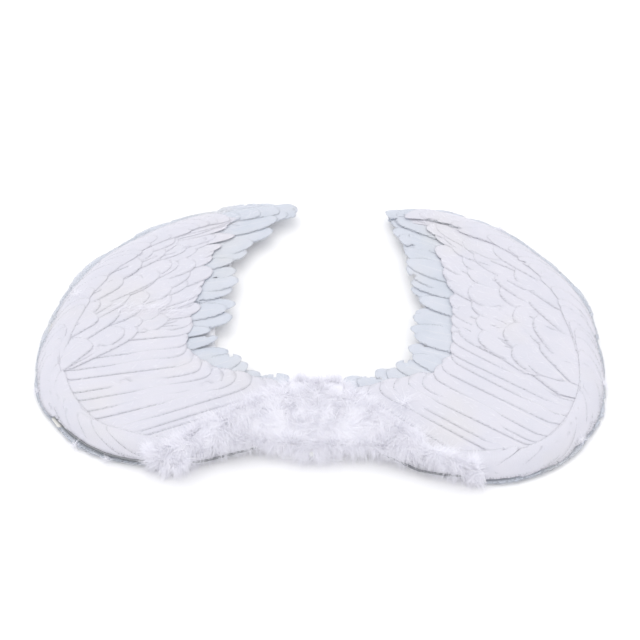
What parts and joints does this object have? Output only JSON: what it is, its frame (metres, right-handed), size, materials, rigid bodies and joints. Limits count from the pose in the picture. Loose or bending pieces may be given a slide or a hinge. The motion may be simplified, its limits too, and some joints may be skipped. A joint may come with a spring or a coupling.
{
  "type": "costume feather wings",
  "caption": "Feathered costume wings that lie flat: two wings fold on a spine bar over a felt back pad with elastic shoulder loops.",
  "frame": {"origin": "centre of the back pad's lower face, the side that lies on the wearer's back", "axes": "+X across the span towards the right wing, +Y towards the wing tips, +Z out of the feathered side"},
  "size_m": [0.5974, 0.4288, 0.0357],
  "materials": {
    "white_feather": "matte",
    "flight_feather": "satin",
    "marabou": "matte",
    "backing_fleece": "matte",
    "felt": "matte",
    "stiffener_board": "matte",
    "frame_steel": "satin",
    "cap_plastic": "satin",
    "thread": "matte",
    "elastic": "matte"
  },
  "bodies": {
    "spine": {"back_pad": "felt", "stiffener_plate": "stiffener_board", "spine_bar": "frame_steel", "spine_cap_upper": "cap_plastic", "spine_cap_lower": "cap_plastic", "lashing_1": "thread", "lashing_2": "thread", "lashing_3": "thread", "spine_marabou": "marabou", "left_strap_tab_upper": "elastic", "left_strap_tab_lower": "elastic", "right_strap_tab_upper": "elastic", "right_strap_tab_lower": "elastic"},
    "left_wing": {"left_frame_wire": "frame_steel", "left_backing_sheet": "backing_fleece", "left_wire_tape_1": "backing_fleece", "left_wire_tape_2": "backing_fleece", "left_wire_tape_3": "backing_fleece", "left_flight_feather_01": "flight_feather", "left_flight_feather_02": "flight_feather", "left_flight_feather_03": "flight_feather", "left_flight_feather_04": "flight_feather", "left_flight_feather_05": "flight_feather", "left_flight_feather_06": "flight_feather", "left_flight_feather_07": "flight_feather", "left_flight_feather_08": "flight_feather", "left_flight_feather_09": "flight_feather", "left_flight_feather_10": "flight_feather", "left_flight_feather_11": "flight_feather", "left_secondary_coverts": "white_feather", "left_upper_coverts": "white_feather", "left_rim_feathers": "white_feather", "left_back_rim_feathers": "white_feather", "left_marabou": "marabou"},
    "right_wing": {"right_frame_wire": "frame_steel", "right_backing_sheet": "backing_fleece", "right_wire_tape_1": "backing_fleece", "right_wire_tape_2": "backing_fleece", "right_wire_tape_3": "backing_fleece", "right_flight_feather_01": "flight_feather", "right_flight_feather_02": "flight_feather", "right_flight_feather_03": "flight_feather", "right_flight_feather_04": "flight_feather", "right_flight_feather_05": "flight_feather", "right_flight_feather_06": "flight_feather", "right_flight_feather_07": "flight_feather", "right_flight_feather_08": "flight_feather", "right_flight_feather_09": "flight_feather", "right_flight_feather_10": "flight_feather", "right_flight_feather_11": "flight_feather", "right_secondary_coverts": "white_feather", "right_upper_coverts": "white_feather", "right_rim_feathers": "white_feather", "right_back_rim_feathers": "white_feather", "right_marabou": "marabou"},
    "left_strap": {"left_strap": "elastic"},
    "right_strap": {"right_strap": "elastic"}
  },
  "joints": [
    {"name": "left_wing_fold", "type": "hinge", "parent": "spine", "child": "left_wing", "pos_m": [0, 0, 0.009], "axis": [0, 1, 0], "range_deg": [0, 60]},
    {"name": "right_wing_fold", "type": "hinge", "parent": "spine", "child": "right_wing", "pos_m": [0, 0, 0.009], "axis": [0, -1, 0], "range_deg": [0, 60]},
    {"name": "left_strap_swing", "type": "hinge", "parent": "spine", "child": "left_strap", "pos_m": [-0.04515, 0, 0], "axis": [0, -1, 0], "range_deg": [0, 95]},
    {"name": "right_strap_swing", "type": "hinge", "parent": "spine", "child": "right_strap", "pos_m": [0.04515, 0, 0], "axis": [0, 1, 0], "range_deg": [0, 95]}
  ]
}
